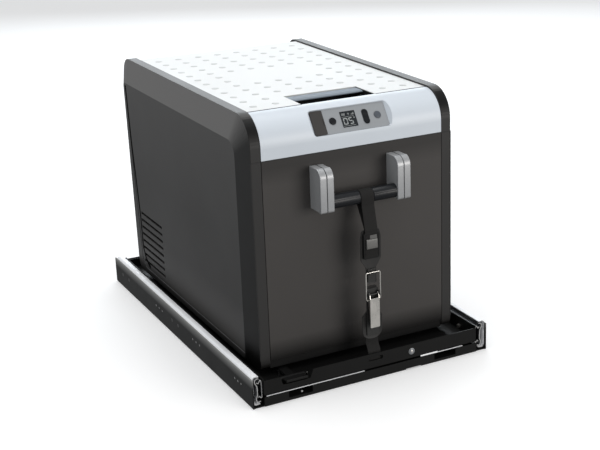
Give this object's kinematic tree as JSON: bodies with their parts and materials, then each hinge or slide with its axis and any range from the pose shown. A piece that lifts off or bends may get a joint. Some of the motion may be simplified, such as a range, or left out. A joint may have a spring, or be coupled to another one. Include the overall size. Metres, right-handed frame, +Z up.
{
  "type": "compressor cooler on slide-out tray",
  "caption": "Portable electric compressor cooler with hinged lid, end handles and control panel, strapped on a telescopic slide-out vehicle tray.",
  "frame": {"origin": "middle of the underside of the slide's base frame, which is the bottom centre of the whole object", "axes": "+Z up, -Y is the front with the control panel, +X is right seen from the front"},
  "size_m": [0.475, 0.714, 0.4898],
  "materials": {
    "powder_coat_black": "fine textured powder coat",
    "zinc_steel": "bright zinc plate",
    "stainless_steel": "brushed",
    "casing_plastic": "fine moulded texture",
    "front_plastic": "fine moulded texture",
    "base_plastic": "matt",
    "cover_plastic": "satin",
    "lid_plastic": "satin",
    "lever_plastic": "satin",
    "panel_plastic": "satin",
    "flap_plastic": "satin",
    "button_dark": "satin",
    "button_grey": "satin",
    "display_glass": "clear over dark",
    "circuit_board": "solder mask",
    "handle_silver": "silver-grey moulded",
    "grip_rubber": "smooth rubber",
    "seal_rubber": "soft",
    "webbing": "woven polyester",
    "liner_aluminium": "embossed",
    "liner_plastic": "satin",
    "foam": "cut foam",
    "coated_wire": "white coating",
    "light_lens": "frosted",
    "compressor_black": "satin paint",
    "fin_aluminium": "mill",
    "fan_plastic": "satin",
    "module_aluminium": "cast"
  },
  "bodies": {
    "base": {"base_side_left": "powder_coat_black", "base_side_right": "powder_coat_black", "base_front_crossmember": "powder_coat_black", "base_rear_crossmember": "powder_coat_black", "rails_outer": "zinc_steel", "rail_screws": "zinc_steel"},
    "outer_cages": {"ball_cages_outer": "stainless_steel"},
    "rail_middles": {"rails_middle": "zinc_steel"},
    "inner_cages": {"ball_cages_inner": "stainless_steel"},
    "tray": {"base_pan": "base_plastic", "compressor": "compressor_black", "condenser": "fin_aluminium", "control_panel": "panel_plastic", "display_board": "circuit_board", "electronics_module": "module_aluminium", "evaporator": "fin_aluminium", "fan_shroud": "fan_plastic", "front_cover": "cover_plastic", "front_panel": "front_plastic", "handle_bars": "grip_rubber", "handle_blocks": "handle_silver", "handle_screws": "stainless_steel", "hinge_cover": "base_plastic", "hinge_pins": "stainless_steel", "inner_liner": "liner_aluminium", "insulation_foam": "foam", "interior_light": "light_lens", "latch_catch": "stainless_steel", "lcd_window": "display_glass", "power_inlets": "button_dark", "rails_inner": "zinc_steel", "rear_shell": "front_plastic", "rubber_feet": "grip_rubber", "side_casing_left": "casing_plastic", "side_casing_right": "casing_plastic", "socket_block": "button_dark", "strap_catch": "stainless_steel", "strap_pads": "grip_rubber", "strap_slider": "stainless_steel", "strap_webbing": "webbing", "toggle_base": "stainless_steel", "tray_bolts": "stainless_steel", "tray_front_plate": "powder_coat_black", "tray_pan": "powder_coat_black", "vent_grilles": "base_plastic", "wire_basket": "coated_wire"},
    "lock_lever": {"lock_lever": "powder_coat_black"},
    "lid": {"lid_top": "lid_plastic", "lid_liner": "liner_plastic", "lid_insulation": "foam", "lid_seal": "seal_rubber"},
    "latch_lever": {"latch_lever": "lever_plastic"},
    "latch_bolt": {"latch_bolt": "base_plastic"},
    "power_button": {"power_button": "button_dark"},
    "set_button": {"set_button": "button_grey"},
    "rocker_switch": {"rocker_switch": "button_dark"},
    "socket_cover": {"socket_cover": "flap_plastic"},
    "fan_rotor": {"fan_rotor": "fan_plastic"},
    "toggle_lever": {"toggle_lever": "stainless_steel"},
    "wire_bail": {"wire_bail": "stainless_steel"}
  },
  "joints": [
    {"name": "tray_slide", "type": "slide", "parent": "base", "child": "tray", "axis": [0, -1, 0], "range_m": [0, 0.65]},
    {"name": "middle_slide", "type": "slide", "parent": "base", "child": "rail_middles", "axis": [0, -1, 0], "range_m": [0, 0.325]},
    {"name": "outer_cage_slide", "type": "slide", "parent": "base", "child": "outer_cages", "axis": [0, -1, 0], "range_m": [0, 0.1625]},
    {"name": "inner_cage_slide", "type": "slide", "parent": "base", "child": "inner_cages", "axis": [0, -1, 0], "range_m": [0, 0.4875]},
    {"name": "lock_hinge", "type": "hinge", "parent": "tray", "child": "lock_lever", "pos_m": [-0.1525, -0.336, 0.033], "axis": [-1, 0, 0], "range_deg": [0, 6]},
    {"name": "lid_hinge", "type": "hinge", "parent": "tray", "child": "lid", "pos_m": [0, 0.28, 0.462], "axis": [-1, 0, 0], "range_deg": [0, 90]},
    {"name": "latch_hinge", "type": "hinge", "parent": "lid", "child": "latch_lever", "pos_m": [0, -0.182, 0.4795], "axis": [-1, 0, 0], "range_deg": [-9, 20], "stiffness_Nm_per_rad": 0.08},
    {"name": "bolt_slide", "type": "slide", "parent": "lid", "child": "latch_bolt", "axis": [0, 1, 0], "range_m": [-0.0045, 0.01]},
    {"name": "power_press", "type": "slide", "parent": "tray", "child": "power_button", "axis": [0, 0.829, -0.5592], "range_m": [0, 0.0008], "stiffness_N_per_m": 600},
    {"name": "set_press", "type": "slide", "parent": "tray", "child": "set_button", "axis": [0, 0.829, -0.5592], "range_m": [0, 0.0008], "stiffness_N_per_m": 600},
    {"name": "rocker_tilt", "type": "hinge", "parent": "tray", "child": "rocker_switch", "pos_m": [0.0314, -0.28368, 0.45907], "axis": [1, 0, 0], "range_deg": [-4, 4], "stiffness_Nm_per_rad": 0.05},
    {"name": "socket_cover_hinge", "type": "hinge", "parent": "tray", "child": "socket_cover", "pos_m": [-0.071, -0.28492, 0.45991], "axis": [0, -0.5592, -0.829], "range_deg": [0, 100]},
    {"name": "fan_spin", "type": "hinge", "parent": "tray", "child": "fan_rotor", "pos_m": [0.112, 0.214, 0.12], "axis": [1, 0, 0], "continuous": true},
    {"name": "toggle_hinge", "type": "hinge", "parent": "tray", "child": "toggle_lever", "pos_m": [0.003, -0.351, 0.158], "axis": [-1, 0, 0], "range_deg": [0, 120]},
    {"name": "bail_hinge", "type": "hinge", "parent": "toggle_lever", "child": "wire_bail", "pos_m": [0.003, -0.351, 0.148], "axis": [-1, 0, 0], "range_deg": [-120, 0]}
  ],
  "couplings": [
    {"joint": "middle_slide", "follows": "tray_slide", "ratio": 0.5},
    {"joint": "outer_cage_slide", "follows": "tray_slide", "ratio": 0.25},
    {"joint": "inner_cage_slide", "follows": "tray_slide", "ratio": 0.75},
    {"joint": "bolt_slide", "follows": "latch_hinge", "m_per_rad": 0.028648},
    {"joint": "bail_hinge", "follows": "toggle_hinge", "ratio": -1}
  ]
}
